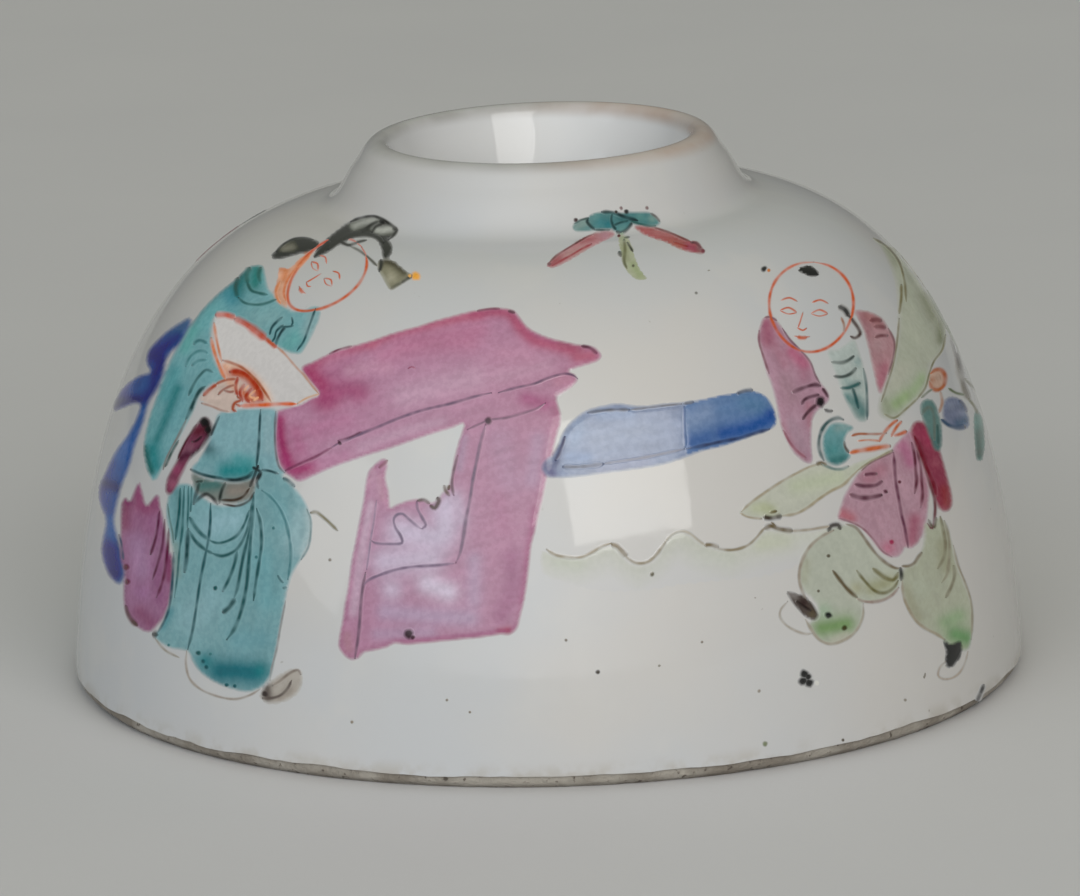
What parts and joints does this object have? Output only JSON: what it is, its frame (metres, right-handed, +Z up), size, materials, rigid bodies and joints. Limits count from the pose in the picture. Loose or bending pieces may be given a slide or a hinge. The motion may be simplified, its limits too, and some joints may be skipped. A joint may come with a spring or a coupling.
{
  "type": "ink container",
  "caption": "Small beehive-shaped porcelain ink and water pot with a short open neck, glazed and painted in raised famille rose enamels with garden figures.",
  "frame": {"origin": "centre of the foot ring on the plane it stands on", "axes": "+Z up along the axis of the pot; the painted scene faces -Y; +X is to the right of a viewer facing the scene"},
  "size_m": [0.07, 0.07, 0.0396],
  "materials": {
    "biscuit": "rough unglazed fired clay",
    "glaze": "glossy clear glaze over grey-white porcelain",
    "black_enamel": "glossy overglaze black",
    "turquoise_enamel": "glossy translucent turquoise enamel",
    "white_enamel": "glossy opaque white enamel",
    "grey_green_enamel": "glossy grey-green enamel",
    "teal_enamel": "thick glassy dark turquoise enamel",
    "brown_enamel": "thin brown enamel",
    "magenta_enamel": "glossy deep rose enamel",
    "rose_enamel": "glossy opaque rose enamel",
    "cobalt_enamel": "glossy translucent blue enamel",
    "green_enamel": "glossy translucent green enamel",
    "pale_green_enamel": "thin wash of green enamel",
    "iron_red_enamel": "thin matt iron red"
  },
  "bodies": {
    "root": {"porcelain_body": "biscuit", "outer_glaze": "glaze", "inner_glaze": "glaze", "base_glaze": "glaze", "lady_hair": "black_enamel", "lady_hair_bun": "black_enamel", "lady_collar": "turquoise_enamel", "lady_sleeve": "turquoise_enamel", "lady_fan": "white_enamel", "lady_shoulder": "turquoise_enamel", "lady_bodice": "turquoise_enamel", "lady_belt": "grey_green_enamel", "lady_skirt": "turquoise_enamel", "lady_skirt_hem": "teal_enamel", "lady_shoe": "brown_enamel", "lady_sash": "magenta_enamel", "lady_drape": "rose_enamel", "lady_ribbon": "cobalt_enamel", "table_top": "rose_enamel", "table_leg": "rose_enamel", "garden_rail": "cobalt_enamel", "ground_wash": "pale_green_enamel", "leaf": "pale_green_enamel", "bat_body": "turquoise_enamel", "bat_left_wing": "rose_enamel", "bat_right_wing": "rose_enamel", "bat_tail": "green_enamel", "boy_tuft": "black_enamel", "boy_sleeve": "rose_enamel", "boy_cuff": "turquoise_enamel", "boy_vest": "turquoise_enamel", "boy_shoulder": "rose_enamel", "boy_tunic": "rose_enamel", "boy_sash": "magenta_enamel", "boy_left_trouser": "pale_green_enamel", "boy_left_trouser_hem": "green_enamel", "boy_right_trouser": "pale_green_enamel", "boy_right_trouser_hem": "green_enamel", "boy_left_shoe": "black_enamel", "boy_right_shoe": "black_enamel", "foliage_pale": "pale_green_enamel", "foliage_green": "green_enamel", "flower": "iron_red_enamel", "garden_rock": "cobalt_enamel", "side_foliage": "pale_green_enamel", "side_trunk": "brown_enamel", "side_rock": "cobalt_enamel", "side_bat": "rose_enamel", "back_rock": "cobalt_enamel", "back_ground": "pale_green_enamel", "back_flower": "rose_enamel", "back_bud": "rose_enamel", "back_aster": "iron_red_enamel", "back_leaf_low": "green_enamel", "back_leaf_left": "green_enamel", "back_leaf_right": "green_enamel", "back_butterfly": "rose_enamel"}
  },
  "joints": []
}
